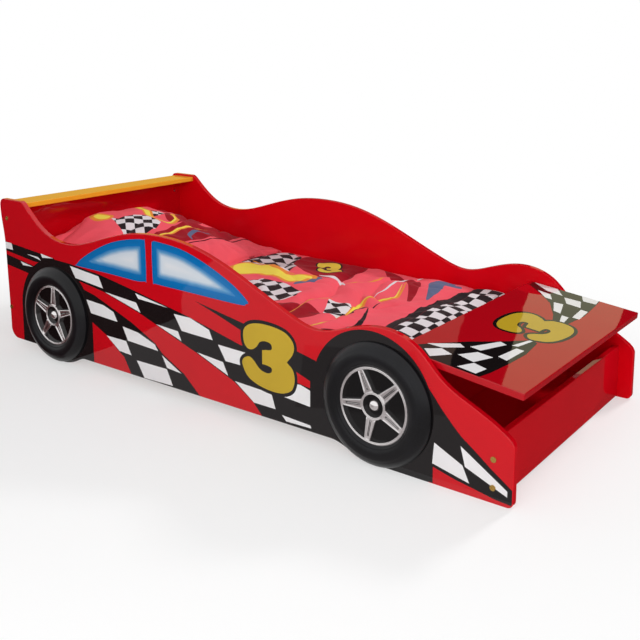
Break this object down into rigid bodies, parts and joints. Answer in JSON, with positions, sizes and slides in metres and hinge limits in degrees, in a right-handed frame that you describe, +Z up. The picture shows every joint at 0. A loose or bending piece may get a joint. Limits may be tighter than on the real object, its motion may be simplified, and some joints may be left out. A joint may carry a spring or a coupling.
{
  "type": "children's race-car bed",
  "caption": "Low toddler bed shaped like a race car: curved side panels, wheel covers, slatted base, bedding, head shelf and a toy box under a hinged bonnet.",
  "frame": {"origin": "on the floor below the middle of the box, with the bonnet at its rest angle", "axes": "+X from the head to the nose, +Y to the bed's left side, +Z up"},
  "size_m": [1.784, 0.8072, 0.48],
  "materials": {
    "red_lacquer": "high-gloss lacquer on fibreboard, with printed black, white, gold and blue race graphics",
    "yellow_lacquer": "satin lacquer on fibreboard",
    "pine": "bare planed pine",
    "webbing": "woven strap",
    "zinc_steel": "bright zinc plate",
    "bolt_brass": "brass plate",
    "wheel_black": "satin black moulding with a gloss black dish",
    "wheel_chrome": "bright vacuum plating",
    "mattress_cover": "white woven cotton",
    "bed_linen": null
  },
  "bodies": {
    "bed": {"side_panel_right": "red_lacquer", "side_panel_left": "red_lacquer", "headboard": "red_lacquer", "partition_panel": "red_lacquer", "front_panel": "red_lacquer", "toy_box_floor": "red_lacquer", "head_shelf": "yellow_lacquer", "slat_01": "pine", "slat_02": "pine", "slat_03": "pine", "slat_04": "pine", "slat_05": "pine", "slat_06": "pine", "slat_07": "pine", "slat_08": "pine", "slat_09": "pine", "slat_10": "pine", "slat_11": "pine", "slat_12": "pine", "slat_13": "pine", "slat_rail_right": "pine", "slat_rail_left": "pine", "toy_box_cleat_right": "pine", "toy_box_cleat_left": "pine", "dowels": "pine", "slat_strap_right": "webbing", "slat_strap_left": "webbing", "hinge_right_frame_leaf": "zinc_steel", "hinge_right_pin": "zinc_steel", "hinge_left_frame_leaf": "zinc_steel", "hinge_left_pin": "zinc_steel", "frame_hinge_screws": "zinc_steel", "rail_screws": "zinc_steel", "wheel_screws": "zinc_steel", "partition_screws": "zinc_steel", "rear_barrel_nuts": "zinc_steel", "front_barrel_nuts": "zinc_steel", "rear_bolts": "bolt_brass", "front_bolts": "bolt_brass", "wheel_front_right_tyre": "wheel_black", "wheel_front_right_rim": "wheel_chrome", "wheel_front_right_cap": "wheel_chrome", "wheel_front_left_tyre": "wheel_black", "wheel_front_left_rim": "wheel_chrome", "wheel_front_left_cap": "wheel_chrome", "wheel_rear_right_tyre": "wheel_black", "wheel_rear_right_rim": "wheel_chrome", "wheel_rear_right_cap": "wheel_chrome", "wheel_rear_left_tyre": "wheel_black", "wheel_rear_left_rim": "wheel_chrome", "wheel_rear_left_cap": "wheel_chrome", "mattress": "mattress_cover", "pillow": "bed_linen", "duvet": "bed_linen"},
    "lid": {"hood_lid": "red_lacquer", "hinge_right_lid_leaf": "zinc_steel", "hinge_left_lid_leaf": "zinc_steel", "lid_hinge_screws": "zinc_steel"}
  },
  "joints": [
    {"name": "lid_hinge", "type": "hinge", "parent": "bed", "child": "lid", "pos_m": [0.58339, 0, 0.2674], "axis": [0, -1, 0], "range_deg": [-18.4, 87.1]}
  ]
}
